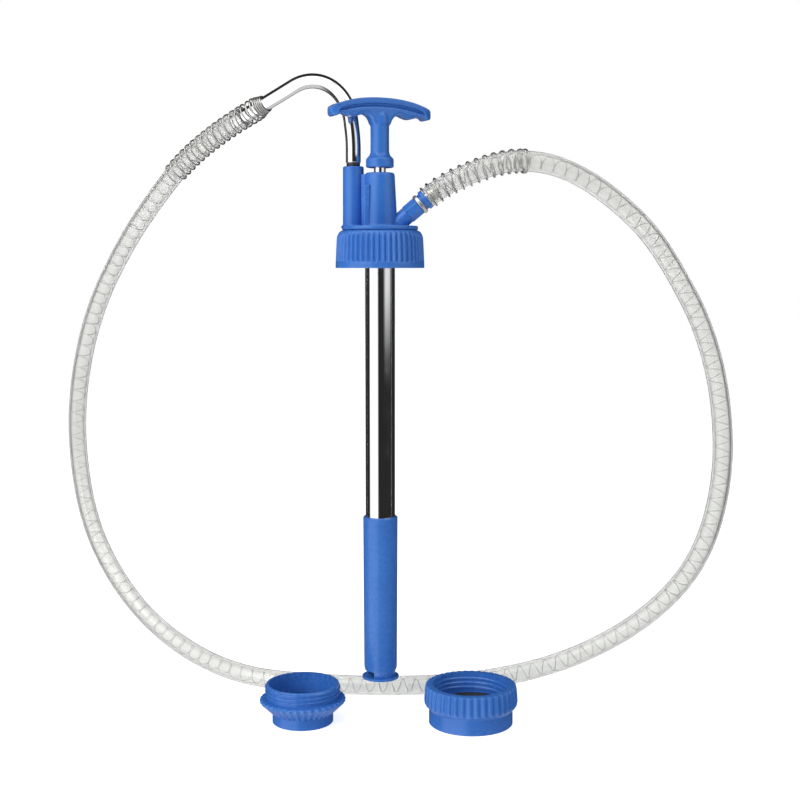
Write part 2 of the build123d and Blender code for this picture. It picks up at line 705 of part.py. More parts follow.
# ---------------------------------------------------------------- container adapters
MALE_PROFILE = [
    (29.0, 0), (MALE_THREAD_R - 0.5, 0), (MALE_THREAD_R, -0.6), (MALE_THREAD_R, -12.0),
    (35.6, -12.6), (37.2, -13.8), (37.2, -15.2), (27.4, -24.5), (26.2, -25.0), (26.2, -33.4),
    (25.6, -34.0), (MALE_BORE_R, -34.0), (MALE_BORE_R, MALE_WEB_Z), (28.5, MALE_WEB_Z),
    (29.0, MALE_WEB_Z + 0.5),
]
FEMALE_PROFILE = [
    (FEMALE_TOP_R, 0), (38.2, 0), (39.0, -0.8), (40.2, -14.5), (39.2, -17.5), (36.0, -20.5),
    (36.0, -33.4), (35.4, -34.0), (FEMALE_FOOT_R, -34.0), (FEMALE_FOOT_R, FEMALE_WEB_Z),
    (FEMALE_THROAT_R, FEMALE_WEB_Z), (FEMALE_THROAT_R, FEMALE_SEAT_Z),
    (FEMALE_SEAT_R, FEMALE_SEAT_Z), (FEMALE_SEAT_R, FEMALE_SEAT_Z + GASKET_T),
    (FEMALE_TOP_R, FEMALE_SEAT_Z + GASKET_T),
]


def adapter(profile, ribs, rib_place, rib_tilt, rib_radius, rib_length, x, y):
    """A turned adapter with rounded grip grooves, made at the origin and set on the floor."""
    with BuildPart() as turned:
        with BuildSketch(Plane.XZ):
            with BuildLine():
                Polyline(*profile, close=True)
            make_face()
        revolve(axis=Axis.Z)
        with PolarLocations(0, ribs):
            with Locations(Location(rib_place, (0, rib_tilt, 0))):
                Cylinder(rib_radius, rib_length, mode=Mode.SUBTRACT)
    return Pos(x, y, FLOOR_Z + ADAPTER_H) * turned.part


male_adapter = adapter(
    MALE_PROFILE, MALE_RIBS, (33.6, 0, -20.6), 46.5, 1.5, 9.5, MALE_X, MALE_Y
)
save(male_adapter, "male_adapter")
female_adapter = adapter(
    FEMALE_PROFILE, FEMALE_RIBS, (41.2, 0, -9.6), 4.6, 1.9, 16.0, FEMALE_X, FEMALE_Y
)
save(female_adapter, "female_adapter")

adapter_top = FLOOR_Z + ADAPTER_H
male_seat = adapter_top + MALE_WEB_Z
save(
    ring(28.3, MALE_BORE_R + 2.0, male_seat, male_seat + GASKET_T, (MALE_X, MALE_Y)),
    "male_adapter_gasket",
)
female_seat = adapter_top + FEMALE_SEAT_Z
save(
    ring(
        FEMALE_SEAT_R - 0.1, FEMALE_THROAT_R + 0.2, female_seat, female_seat + GASKET_T,
        (FEMALE_X, FEMALE_Y),
    ),
    "female_adapter_gasket",
)
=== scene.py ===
"""Hand transfer pump for pails: the visual model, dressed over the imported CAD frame.

Shapes are worked out in millimetres and scaled to metres as each piece is finished.  +Z is up,
+X is towards the outlet, and the origin is the middle of the collar's open mouth.
"""

import json
from math import atan2, cos, pi, radians, sin, tan, tau

import bmesh
import bpy
from mathutils import Matrix, Vector


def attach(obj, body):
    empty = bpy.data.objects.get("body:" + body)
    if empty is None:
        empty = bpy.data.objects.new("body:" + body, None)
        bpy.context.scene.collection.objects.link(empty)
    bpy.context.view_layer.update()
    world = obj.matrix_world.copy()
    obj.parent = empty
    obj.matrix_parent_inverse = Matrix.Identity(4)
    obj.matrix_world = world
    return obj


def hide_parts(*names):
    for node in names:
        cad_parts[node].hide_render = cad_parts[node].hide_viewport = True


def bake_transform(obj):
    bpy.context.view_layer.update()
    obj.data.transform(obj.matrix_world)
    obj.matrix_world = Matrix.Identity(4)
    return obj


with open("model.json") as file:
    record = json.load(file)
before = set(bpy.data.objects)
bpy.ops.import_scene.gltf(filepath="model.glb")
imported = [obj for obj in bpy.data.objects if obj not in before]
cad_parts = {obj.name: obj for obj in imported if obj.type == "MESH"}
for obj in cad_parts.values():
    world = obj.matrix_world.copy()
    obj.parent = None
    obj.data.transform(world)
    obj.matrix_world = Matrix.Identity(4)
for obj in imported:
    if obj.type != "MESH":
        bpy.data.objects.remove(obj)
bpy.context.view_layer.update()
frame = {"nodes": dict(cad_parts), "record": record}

MM = 0.001

# ---------------------------------------------------------------- camera
CAMERA_AT = (0.017, -1.130, 0.0)
CAMERA_LENS = 59.49
CAMERA_DIP = 5.7        # degrees below level
camera_data = bpy.data.cameras.new("camera")
camera_data.sensor_width = 36.0
camera_data.lens = CAMERA_LENS
camera_data.clip_end = 50.0
camera = bpy.data.objects.new("camera", camera_data)
camera.location = CAMERA_AT
camera.rotation_euler = (radians(90 - CAMERA_DIP), 0.0, 0.0)
bpy.context.scene.collection.objects.link(camera)
bpy.context.scene.camera = camera
bpy.context.scene.view_settings.view_transform = "Standard"


# ---------------------------------------------------------------- material helpers
def new_material(name, **plain):
    """A Principled material with plain socket values; returns it, its tree and its shader."""
    material = bpy.data.materials.new(name)
    material.use_nodes = True
    tree = material.node_tree
    shader = tree.nodes["Principled BSDF"]
    for socket, value in plain.items():
        shader.inputs[socket.replace("_", " ")].default_value = value
    return material, tree, shader


def add(tree, kind, links=None, **settings):
    """Add one node, set its properties and its inputs, and wire the inputs that are sockets."""
    node = tree.nodes.new(kind)
    for name, value in settings.items():
        setattr(node, name, value)
    for name, value in (links or {}).items():
        socket = node.inputs[name]
        if isinstance(value, bpy.types.NodeSocket):
            tree.links.new(value, socket)
        else:
            socket.default_value = value
    return node


def new_group(name, inputs, outputs):
    """An empty shader node group with named sockets."""
    group = bpy.data.node_groups.new(name, "ShaderNodeTree")
    for label, kind, value in inputs:
        socket = group.interface.new_socket(label, in_out="INPUT", socket_type=kind)
        if value is not None:
            socket.default_value = value
    for label, kind in outputs:
        group.interface.new_socket(label, in_out="OUTPUT", socket_type=kind)
    return group, group.nodes.new("NodeGroupInput"), group.nodes.new("NodeGroupOutput")


FLOAT = "NodeSocketFloat"


def make_rubbed_edges():
    """Mask of the corners that hands and threads have rubbed, broken up by a noise."""
    group, inside, out = new_group(
        "rubbed_edges",
        [("Width", FLOAT, 0.06), ("Breakup", FLOAT, 300.0)],
        [("Mask", FLOAT)],
    )
    where = add(group, "ShaderNodeTexCoord").outputs["Object"]
    corner = add(group, "ShaderNodeNewGeometry").outputs["Pointiness"]
    above = add(group, "ShaderNodeMath", {0: corner, 1: 0.5}, operation="SUBTRACT")
    share = add(
        group, "ShaderNodeMath", {0: above.outputs[0], 1: inside.outputs["Width"]},
        operation="DIVIDE",
    )
    share.use_clamp = True
    flecks = add(
        group, "ShaderNodeTexNoise",
        {"Vector": where, "Scale": inside.outputs["Breakup"], "Detail": 4.0},
    )
    spread = add(
        group, "ShaderNodeMapRange",
        {"Value": flecks.outputs["Fac"], "From Min": 0.35, "From Max": 0.65},
    )
    both = add(
        group, "ShaderNodeMath", {0: share.outputs[0], 1: spread.outputs["Result"]},
        operation="MULTIPLY",
    )
    group.links.new(both.outputs[0], out.inputs["Mask"])
    return group


def make_moulded_skin():
    """Height and tone of a moulded surface: fine grain, slow waviness and a few scuffs."""
    group, inside, out = new_group(
        "moulded_skin",
        [("Grain Scale", FLOAT, 1400.0), ("Scuff Scale", FLOAT, 90.0)],
        [("Height", FLOAT), ("Tone", FLOAT), ("Scuffs", FLOAT)],
    )
    where = add(group, "ShaderNodeTexCoord").outputs["Object"]
    grain = add(
        group, "ShaderNodeTexNoise",
        {"Vector": where, "Scale": inside.outputs["Grain Scale"], "Detail": 3.0},
    )
    wave = add(group, "ShaderNodeTexNoise", {"Vector": where, "Scale": 28.0, "Detail": 2.0})
    height = add(
        group, "ShaderNodeMath",
        {0: wave.outputs["Fac"], 1: 1.4, 2: grain.outputs["Fac"]}, operation="MULTIPLY_ADD",
    )
    stretched = add(group, "ShaderNodeMapping", {"Vector": where, "Scale": (1.0, 1.0, 0.22)})
    scuff = add(
        group, "ShaderNodeTexNoise",
        {
            "Vector": stretched.outputs[0], "Scale": inside.outputs["Scuff Scale"],
            "Detail": 8.0, "Roughness": 0.7,
        },
    )
    marks = add(
        group, "ShaderNodeMapRange",
        {"Value": scuff.outputs["Fac"], "From Min": 0.58, "From Max": 0.72},
    )
    group.links.new(height.outputs[0], out.inputs["Height"])
    group.links.new(wave.outputs["Fac"], out.inputs["Tone"])
    group.links.new(marks.outputs["Result"], out.inputs["Scuffs"])
    return group


def make_drawn_lines():
    """Fine lines that run along one axis, as a drawn or polished tube has."""
    group, inside, out = new_group(
        "drawn_lines",
        [("Across", FLOAT, 900.0), ("Along", FLOAT, 6.0)],
        [("Lines", FLOAT), ("Smears", FLOAT)],
    )
    where = add(group, "ShaderNodeTexCoord").outputs["Object"]
    scales = add(
        group, "ShaderNodeCombineXYZ",
        {"X": inside.outputs["Across"], "Y": inside.outputs["Across"],
         "Z": inside.outputs["Along"]},
    )
    stretched = add(
        group, "ShaderNodeVectorMath", {0: where, 1: scales.outputs[0]}, operation="MULTIPLY"
    )
    lines = add(
        group, "ShaderNodeTexNoise", {"Vector": stretched.outputs[0], "Scale": 1.0, "Detail": 4.0}
    )
    smears = add(group, "ShaderNodeTexNoise", {"Vector": where, "Scale": 35.0, "Detail": 5.0})
    group.links.new(lines.outputs["Fac"], out.inputs["Lines"])
    group.links.new(smears.outputs["Fac"], out.inputs["Smears"])
    return group


rubbed_edges = make_rubbed_edges()
moulded_skin = make_moulded_skin()
drawn_lines = make_drawn_lines()


def place(tree, group, **values):
    """Put a node group into a material and set its plain values."""
    node = tree.nodes.new("ShaderNodeGroup")
    node.node_tree = group
    for name, value in values.items():
        node.inputs[name.replace("_", " ")].default_value = value
    return node


def mix_colour(tree, factor, first, second):
    """Mix two colours; each argument is a socket or a plain value."""
    mix = add(tree, "ShaderNodeMix", data_type="RGBA")
    for socket, value in (("Factor_Float", factor), ("A_Color", first), ("B_Color", second)):
        entry = next(s for s in mix.inputs if s.identifier == socket)
        if isinstance(value, bpy.types.NodeSocket):
            tree.links.new(value, entry)
        else:
            entry.default_value = value
    return next(s for s in mix.outputs if s.identifier == "Result_Color")


def ranged(tree, value, low, high, start=0.0, stop=1.0):
    """Map a value's start to stop onto low to high."""
    return add(
        tree, "ShaderNodeMapRange",
        {"Value": value, "From Min": start, "From Max": stop, "To Min": low, "To Max": high},
    ).outputs["Result"]


def bumped(tree, shader, height, strength, distance):
    bump = add(
        tree, "ShaderNodeBump", {"Height": height, "Strength": strength, "Distance": distance}
    )
    tree.links.new(bump.outputs["Normal"], shader.inputs["Normal"])


def moulded(name, deep, pale, worn, rough, grain=1400.0, bump=0.12):
    """Injection-moulded plastic: a slow drift of tone, fine grain, scuffs and paler corners."""
    material, tree, shader = new_material(name, Specular_IOR_Level=0.45)
    skin = place(tree, moulded_skin, Grain_Scale=grain)
    edges = place(tree, rubbed_edges)
    body = mix_colour(tree, ranged(tree, skin.outputs["Tone"], 0.0, 1.0, 0.3, 0.7), deep, pale)
    worn_share = ranged(tree, edges.outputs["Mask"], 0.0, 0.35)
    tree.links.new(mix_colour(tree, worn_share, body, worn), shader.inputs["Base Color"])
    tree.links.new(
        ranged(tree, skin.outputs["Scuffs"], rough, rough + 0.12), shader.inputs["Roughness"]
    )
    bumped(tree, shader, skin.outputs["Height"], bump, 0.0002)
    return material


def polished(name, dark, light, smooth, dull, across=900.0, along=6.0):
    """Bright metal with lines along its length and faint handling smears."""
    material, tree, shader = new_material(name, Metallic=1.0)
    lines = place(tree, drawn_lines, Across=across, Along=along)
    tree.links.new(
        mix_colour(tree, ranged(tree, lines.outputs["Lines"], 0.0, 1.0, 0.3, 0.7), dark, light),
        shader.inputs["Base Color"],
    )
    tree.links.new(
        ranged(tree, lines.outputs["Smears"], smooth, dull, 0.3, 0.75),
        shader.inputs["Roughness"],
    )
    bumped(tree, shader, lines.outputs["Lines"], 0.05, 0.0001)
    return material


blue_plastic = moulded(
    "blue_plastic", (0.034, 0.160, 0.540, 1), (0.043, 0.182, 0.600, 1), (0.13, 0.32, 0.80, 1),
    0.23,
)
dark_plastic = moulded(
    "dark_plastic", (0.022, 0.022, 0.025, 1), (0.035, 0.035, 0.040, 1), (0.10, 0.10, 0.11, 1), 0.4
)
acetal = moulded(
    "acetal", (0.74, 0.74, 0.71, 1), (0.82, 0.82, 0.80, 1), (0.9, 0.9, 0.88, 1), 0.38, 900.0
)
rubber = moulded(
    "rubber", (0.014, 0.014, 0.015, 1), (0.026, 0.026, 0.027, 1), (0.06, 0.06, 0.06, 1), 0.62,
    2200.0, 0.3,
)
chrome = polished("chrome", (0.74, 0.75, 0.77, 1), (0.86, 0.86, 0.87, 1), 0.05, 0.13)
bright_steel = polished(
    "bright_steel", (0.58, 0.57, 0.52, 1), (0.74, 0.73, 0.68, 1), 0.34, 0.50, 500.0, 500.0
)
spring_steel = polished(
    "spring_steel", (0.46, 0.46, 0.45, 1), (0.66, 0.66, 0.64, 1), 0.34, 0.48, 260.0, 260.0
)


def make_clear_hose():
    """Clear PVC: faintly milky, with slight ripples from the wire laid in its wall."""
    material, tree, shader = new_material(
        "clear_hose", Transmission_Weight=0.84, IOR=1.40, Specular_IOR_Level=0.5
    )
    where = add(tree, "ShaderNodeTexCoord").outputs["Object"]
    cloud = add(tree, "ShaderNodeTexNoise", {"Vector": where, "Scale": 60.0, "Detail": 4.0})
    tree.links.new(
        mix_colour(tree, cloud.outputs["Fac"], (0.92, 0.925, 0.905, 1), (0.97, 0.975, 0.96, 1)),
        shader.inputs["Base Color"],
    )
    tree.links.new(
        ranged(tree, cloud.outputs["Fac"], 0.10, 0.20, 0.3, 0.7), shader.inputs["Roughness"]
    )
    ripple = add(tree, "ShaderNodeTexNoise", {"Vector": where, "Scale": 140.0, "Detail": 2.0})
    bumped(tree, shader, ripple.outputs["Fac"], 0.15, 0.0004)
    return material


clear_hose = make_clear_hose()
finishes = {
    "blue_plastic": blue_plastic, "dark_plastic": dark_plastic, "acetal": acetal,
    "rubber": rubber, "chrome": chrome, "bright_steel": bright_steel,
    "spring_steel": spring_steel, "clear_hose": clear_hose,
}


# ---------------------------------------------------------------- mesh helpers
def finish_piece(name, bm, finish, body, replaces=(), sharp=32.0, even=True):
    """Scale a millimetre bmesh to metres, close it up, shade it and let it ride on its body."""
    bmesh.ops.scale(bm, vec=(MM, MM, MM), verts=bm.verts)
    bmesh.ops.remove_doubles(bm, verts=bm.verts, dist=1e-7)
    bmesh.ops.recalc_face_normals(bm, faces=bm.faces)
    mesh = bpy.data.meshes.new(name)
    bm.to_mesh(mesh)
    bm.free()
    return finish_mesh(name, mesh, finish, body, replaces, sharp, even)


def finish_mesh(name, mesh, finish, body, replaces=(), sharp=32.0, even=False):
    """Shade a mesh, give it its finish, and let it ride on its body in place of CAD nodes."""
    mesh.name = name
    mesh.shade_smooth()
    mesh.set_sharp_from_angle(angle=radians(sharp))
    mesh.materials.clear()
    mesh.materials.append(finishes[finish])
    piece = bpy.data.objects.new(name, mesh)
    bpy.context.scene.collection.objects.link(piece)
    if body:
        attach(piece, body)
    if replaces:
        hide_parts(*replaces)
    if even:
        shading = piece.modifiers.new("even_shading", "WEIGHTED_NORMAL")
        shading.keep_sharp = True
    return piece


def spin_profile(bm, points, steps=96, arc=tau, rise=0.0, start=0.0):
    """Spin a closed line of (radius, height) points about Z; rise makes it a helix."""
    line = [bm.verts.new((r * cos(start), r * sin(start), z)) for r, z in points]
    edges = [bm.edges.new(pair) for pair in zip(line, line[1:] + line[:1])]
    whole = abs(arc - tau) < 1e-6 and not rise
    before = set(bm.faces)
    bmesh.ops.spin(
        bm, geom=line + edges, cent=(0, 0, 0), axis=(0, 0, 1), dvec=(0, 0, rise / steps),
        angle=arc, steps=steps, use_merge=whole, use_normal_flip=False, use_duplicate=False,
    )
    return [f for f in bm.faces if f not in before]


def round_corners(bm, width, segments=2):
    """Bevel every edge that turns by more than 30 degrees."""
    bmesh.ops.remove_doubles(bm, verts=bm.verts, dist=1e-4)
    chosen = [
        e for e in bm.edges if len(e.link_faces) == 2 and e.calc_face_angle(0) > radians(30)
    ]
    bmesh.ops.bevel(
        bm, geom=chosen, offset=width, offset_type="OFFSET", segments=segments, profile=0.5,
        affect="EDGES", clamp_overlap=True, material=-1,
    )


def turned(points, width=0.3, steps=96, segments=2):
    """A closed turned body with its corners rounded."""
    bm = bmesh.new()
    spin_profile(bm, points, steps)
    bmesh.ops.recalc_face_normals(bm, faces=bm.faces)
    if width:
        round_corners(bm, width, segments)
    return bm


def join(bm, other, matrix=None):
    """Add another bmesh's shell to this one, moved by matrix."""
    if matrix is not None:
        bmesh.ops.transform(other, matrix=matrix, verts=other.verts)
    mesh = bpy.data.meshes.new("shell")
    other.to_mesh(mesh)
    other.free()
    bm.from_mesh(mesh)
    bpy.data.meshes.remove(mesh)


def eased(share):
    """0 up to 1 with soft ends."""
    share = min(1.0, max(0.0, share))
    return share * share * (3 - 2 * share)


def flute(bm, count, depth, low, high, fade, least_r, sharpness, lean=0.0, phase=0.0):
    """Press evenly spaced grip grooves into a turned surface between two heights.

    Only what lies outside least_r is pressed; lean lets that limit grow with the height.
    """
    for vert in bm.verts:
        offset = Vector((vert.co.x, vert.co.y, 0))
        if offset.length < least_r + lean * (vert.co.z - low):
            continue
        share = min((vert.co.z - low) / fade[0], (high - vert.co.z) / fade[1], 1.0)
        if share <= 0:
            continue
        turn = atan2(offset.y, offset.x) - phase
        groove = ((1 + cos(count * turn)) / 2) ** sharpness
        vert.co -= offset.normalized() * depth * eased(share) * groove


def thread(bm, root_r, crest_r, z, pitch, turns, width=0.7):
    """A helical thread ridge, fading into the wall at both ends."""
    half = pitch * width / 2
    line = [(root_r, z - half), (crest_r, z - half * 0.35), (crest_r, z + half * 0.35),
            (root_r, z + half)]
    faces = spin_profile(bm, line, int(72 * turns), tau * turns, pitch * turns)
    lead = 0.12 * pitch * turns
    for vert in {v for f in faces for v in f.verts}:
        offset = Vector((vert.co.x, vert.co.y, 0))
        travel = vert.co.z - z
        share = max(0.0, min(1.0, (travel + half) / lead, (pitch * turns + half - travel) / lead))
        offset *= (root_r + (offset.length - root_r) * share) / offset.length
        vert.co.x, vert.co.y = offset.x, offset.y
    bmesh.ops.holes_fill(bm, edges=[e for e in bm.edges if e.is_boundary], sides=8)


def cylinder(radius, length, bottom):
    """A solid round bar along local Z, from bottom up."""
    bm = bmesh.new()
    bmesh.ops.create_cone(
        bm, cap_ends=True, segments=64, radius1=radius, radius2=radius, depth=length
    )
    bmesh.ops.translate(bm, vec=(0, 0, bottom + length / 2), verts=bm.verts)
    return bm


def block(size, middle, turn=0.0, width=0.8, segments=3, top_share=1.0):
    """A rounded block, turned about Z, with its top drawn in for draft."""
    bm = bmesh.new()
    bmesh.ops.create_cube(bm, size=1.0)
    bmesh.ops.scale(bm, vec=size, verts=bm.verts)
    for vert in bm.verts:
        if vert.co.z > 0:
            vert.co.x *= top_share
            vert.co.y *= top_share
    round_corners(bm, width, segments)
    bmesh.ops.rotate(bm, cent=(0, 0, 0), matrix=Matrix.Rotation(turn, 3, "Z"), verts=bm.verts)
    bmesh.ops.translate(bm, vec=middle, verts=bm.verts)
    return bm


# ---------------------------------------------------------------- hose
HOSE_ROUTE = [
    (39.6, 0, 58.5), (49.2, 0, 66.7), (72, 0, 78), (97, 3.5, 87.5), (119, 9.3, 91.4),
    (148, 19, 89), (179, 31, 77), (209, 41, 57), (238, 47, 31), (263, 49, -6), (288, 46, -54),
    (303, 40, -115), (305, 33, -187), (286, 31, -260), (242, 43, -316), (175, 54, -358),
    (97, 50, -376.5), (18, 49, -381.2), (-62, 57, -381.2), (-137, 82, -381.2),
    (-204, 124, -361), (-258, 163, -322), (-299, 196, -261), (-315, 214, -180),
    (-308, 205, -108), (-285, 184, -37), (-245, 148, 26), (-208, 117, 69),
    (-178.5, 96, 99), (-142.24, 73.65, 123.21), (-121.57, 61.87, 133.45),
]
HOSE_R = 8.75
HOSE_WALL = 2.35
WIRE_LAY_R = 5.95       # the wire lies just inside the bore
WIRE_R = 0.42
WIRE_PITCH = 12.07
WIRE_ENDS = 14.0        # the wire stops this far from both ends
WIRE_STEPS = 20         # points to each turn


def curve_through(points, radius=0.0, kind="POLY", resolution=2, sides=4, caps=True):
    """A curve in metres through millimetre points, as a mesh; no radius gives its bare line."""
    curve = bpy.data.curves.new("line", "CURVE")
    curve.dimensions = "3D"
    curve.bevel_depth = radius * MM
    curve.bevel_resolution = sides
    curve.use_fill_caps = caps
    spline = curve.splines.new(kind)
    spline.points.add(len(points) - 1)
    for point, place_mm in zip(spline.points, points):
        point.co = (*(Vector(place_mm) * MM), 1.0)
    if kind == "NURBS":
        spline.order_u = 3
        spline.use_endpoint_u = True
        spline.resolution_u = resolution
    holder = bpy.data.objects.new("line", curve)
    mesh = bpy.data.meshes.new_from_object(holder)
    bpy.data.objects.remove(holder)
    bpy.data.curves.remove(curve)
    return mesh


bare_line = curve_through(HOSE_ROUTE, kind="NURBS", resolution=24)
hose_line = [v.co / MM for v in bare_line.vertices]
bpy.data.meshes.remove(bare_line)


def travelled(points):
    """Distance along a line of points, at each point."""
    total = [0.0]
    for here, there in zip(points, points[1:]):
        total.append(total[-1] + (there - here).length)
    return total


def steady_frames(points):
    """At each point, the line's direction and a side direction that never twists about it."""
    frames = []
    side = Vector((0, 1, 0))
    for i in range(len(points)):
        ahead = (points[min(i + 1, len(points) - 1)] - points[max(i - 1, 0)]).normalized()
        side = (side - ahead * side.dot(ahead)).normalized()
        frames.append((ahead, side))
    return frames


hose_travel = travelled(hose_line)
hose_frames = steady_frames(hose_line)
hose_length = hose_travel[-1]


def beside_hose(distance, radius, turn):
    """The point at an angle round the hose, at a distance along it."""
    low, high = 0, len(hose_travel) - 1
    while high - low > 1:
        middle = (low + high) // 2
        if hose_travel[middle] <= distance:
            low = middle
        else:
            high = middle
    step = hose_travel[high] - hose_travel[low]
    share = min(1.0, max(0.0, (distance - hose_travel[low]) / step))
    centre = hose_line[low].lerp(hose_line[high], share)
    ahead = hose_frames[low][0].lerp(hose_frames[high][0], share).normalized()
    side = hose_frames[low][1].lerp(hose_frames[high][1], share)
    side = (side - ahead * side.dot(ahead)).normalized()
    return centre + (side * cos(turn) + ahead.cross(side) * sin(turn)) * radius


def coil(distances, radius, angles, wire, sides=3):
    """A wire wound round the hose, through one point for each distance and angle."""
    points = [beside_hose(d, radius, a) for d, a in zip(distances, angles)]
    return curve_through(points, radius=wire, sides=sides)


hose_mesh = curve_through(
    HOSE_ROUTE, radius=HOSE_R, kind="NURBS", resolution=24, sides=7, caps=False
)
hose = finish_mesh("hose", hose_mesh, "clear_hose", None, ["hose_main", "hose_end"], 80)
wall = hose.modifiers.new("wall", "SOLIDIFY")
wall.thickness = HOSE_WALL * MM
wall.offset = -1.0
wall.use_rim = True
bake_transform(hose)

wire_points = int(hose_length / WIRE_PITCH) * WIRE_STEPS
wire_span = hose_length - 2 * WIRE_ENDS
wire_places = [WIRE_ENDS + wire_span * i / wire_points for i in range(wire_points + 1)]
wire_angles = [tau * (d - WIRE_ENDS) / WIRE_PITCH for d in wire_places]
wire_mesh = coil(wire_places, WIRE_LAY_R, wire_angles, WIRE_R, sides=1)
hose_wire = finish_mesh("hose_wire", wire_mesh, "spring_steel", None, sharp=80)
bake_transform(hose_wire)


# ---------------------------------------------------------------- spring guards
SPRING_WIRE_R = 0.75
SPRING_LAY_R = 9.88     # middle of the wire
CLOSE_PITCH = 1.62
OUTLET_PITCH, OUTLET_FIRST, OUTLET_LAST = 7.4, 0.9, 93.5
OPEN_AFTER = 1.2        # turns in which the outlet's spring opens
CLOSED_END, CLOSING_LENGTH = 1.5, 3.0
SPRING_STEPS = 28       # points to each turn


def outlet_spring_places():
    """Distances and angles of the outlet's spring: open turns with a closed turn at each end."""
    distances, angles = [], []
    distance, angle = OUTLET_FIRST, 0.0
    while distance <= OUTLET_LAST:
        distances.append(distance)
        angles.append(angle)
        closing = (OUTLET_LAST - distance - CLOSED_END) / CLOSING_LENGTH
        share = eased(angle / tau / OPEN_AFTER) * min(1.0, max(0.0, closing))
        distance += (CLOSE_PITCH + (OUTLET_PITCH - CLOSE_PITCH) * share) / SPRING_STEPS
        angle += tau / SPRING_STEPS
    return distances, angles


outlet_places, outlet_angles = outlet_spring_places()
outlet_spring = coil(outlet_places, SPRING_LAY_R, outlet_angles, SPRING_WIRE_R)
finish_mesh(
    "outlet_spring_coil", outlet_spring, "spring_steel", "pump_body", ["outlet_spring"], 80
)


# ---------------------------------------------------------------- gooseneck spout
PARK_X, PARK_Y = -22.6, 5.5
SPOUT_BOTTOM = 88.5
SPOUT_R, SPOUT_WALL = 6.35, 1.15
KNEE_Z, KNEE_R, LEAN = 108.0, 120.0, radians(8.0)
BEND_R, APEX_Z, DROP = 42.0, 182.5, radians(23.3)
SPOUT_REACH = 124.0     # from over the parking tower, down the end's line to the hose's end
IN_HOSE = 12.0
UP = Vector((0, 0, 1))
heading = Vector((-0.869, 0.495, 0)).normalized()
spout_direction = heading * cos(DROP) - UP * sin(DROP)
lean_direction = heading * sin(LEAN) + UP * cos(LEAN)
corner_z = (APEX_Z + tan(DROP) * tan(LEAN) * KNEE_Z) / (1 + tan(DROP) * tan(LEAN))
corner_out = (corner_z - KNEE_Z) * tan(LEAN)
spout_hose_end = Vector((PARK_X, PARK_Y, APEX_Z)) + spout_direction * SPOUT_REACH
knee_cut = KNEE_R * tan(LEAN / 2)
bend_turn = pi / 2 + DROP - LEAN
bend_cut = BEND_R * tan(bend_turn / 2)
leg_run = (corner_z - KNEE_Z) / cos(LEAN) - knee_cut - bend_cut
end_run = SPOUT_REACH - corner_out / cos(DROP) + IN_HOSE - bend_cut


def spout_skin(radius, bottom):
    """One skin of the spout: up from the bottom, over the knee and the bend, into the hose."""
    bm = bmesh.new()
    ring = bmesh.ops.create_circle(bm, segments=48, radius=radius, cap_ends=False)["verts"]
    bmesh.ops.translate(bm, vec=(PARK_X, PARK_Y, bottom), verts=ring)
    edges = list(bm.edges)
    here = Vector((PARK_X, PARK_Y, bottom))
    moves = [
        ("run", KNEE_Z - knee_cut - bottom, UP), ("turn", LEAN, KNEE_R, heading, 8),
        ("run", leg_run, lean_direction),
        ("turn", bend_turn, BEND_R, heading * cos(LEAN) - UP * sin(LEAN), 48),
        ("run", end_run, spout_direction),
    ]
    axis = heading.cross(UP)
    for move in moves:
        if move[0] == "run":
            grown = bmesh.ops.extrude_edge_only(bm, edges=edges)["geom"]
            verts = [g for g in grown if isinstance(g, bmesh.types.BMVert)]
            bmesh.ops.translate(bm, vec=move[2] * move[1], verts=verts)
            here = here + move[2] * move[1]
        else:
            _, angle, bend, inward, steps = move
            centre = here + inward * bend
            verts = list({v for e in edges for v in e.verts})
            grown = bmesh.ops.spin(
                bm, geom=verts + edges, cent=centre, axis=axis, angle=-angle, steps=steps,
                use_merge=False, use_normal_flip=False, use_duplicate=False,
            )["geom_last"]
            here = centre + Matrix.Rotation(-angle, 3, axis) @ (here - centre)
        edges = [g for g in grown if isinstance(g, bmesh.types.BMEdge)]
    return bm


MOUTH_ROUND = 1.0       # height of the rounding at the spout's lower mouth
spout = spout_skin(SPOUT_R, SPOUT_BOTTOM + MOUTH_ROUND)
mouth = [e for e in spout.edges if e.is_boundary and e.verts[0].co.z < SPOUT_BOTTOM + 2]
for radius, drop_by in ((SPOUT_R - 0.14, 0.5), (SPOUT_R - 0.5, 0.87), (SPOUT_R - 1.0, 1.0)):
    grown = bmesh.ops.extrude_edge_only(spout, edges=mouth)["geom"]
    for vert in (g for g in grown if isinstance(g, bmesh.types.BMVert)):
        out = Vector((vert.co.x - PARK_X, vert.co.y - PARK_Y, 0)).normalized() * radius
        vert.co = Vector((PARK_X, PARK_Y, SPOUT_BOTTOM + MOUTH_ROUND - drop_by)) + out
    mouth = [g for g in grown if isinstance(g, bmesh.types.BMEdge)]
join(spout, spout_skin(SPOUT_R - SPOUT_WALL, SPOUT_BOTTOM + 0.1))
for low_end in (True, False):
    rims = [
        e for e in spout.edges
        if e.is_boundary and (e.verts[0].co.z < SPOUT_BOTTOM + 2) == low_end
    ]
    bmesh.ops.bridge_loops(spout, edges=rims)
finish_piece("spout_pipe", spout, "chrome", "nozzle", ["spout_tube"], 40, even=False)

spout_side = (Vector((0, 1, 0)) - spout_direction * spout_direction.y).normalized()
spout_over = spout_direction.cross(spout_side)
# how far the hose's own side direction is turned from the spout's where they meet
hose_phase = atan2(hose_frames[-1][1].dot(spout_over), hose_frames[-1][1].dot(spout_side))


SPOUT_SPRING_BACK = 26.0        # how far it reaches up the pipe, past the hose's end
SPOUT_SPRING_PAST = 96.0        # how far it reaches down the hose
SPOUT_PITCH = 7.1
PIPE_GRIP_R = 7.2               # middle of the wire where it grips the pipe
GRIP_TURNS, OPENING_TURNS = 3.5, 5.0
SWELL_LENGTH = 12.0


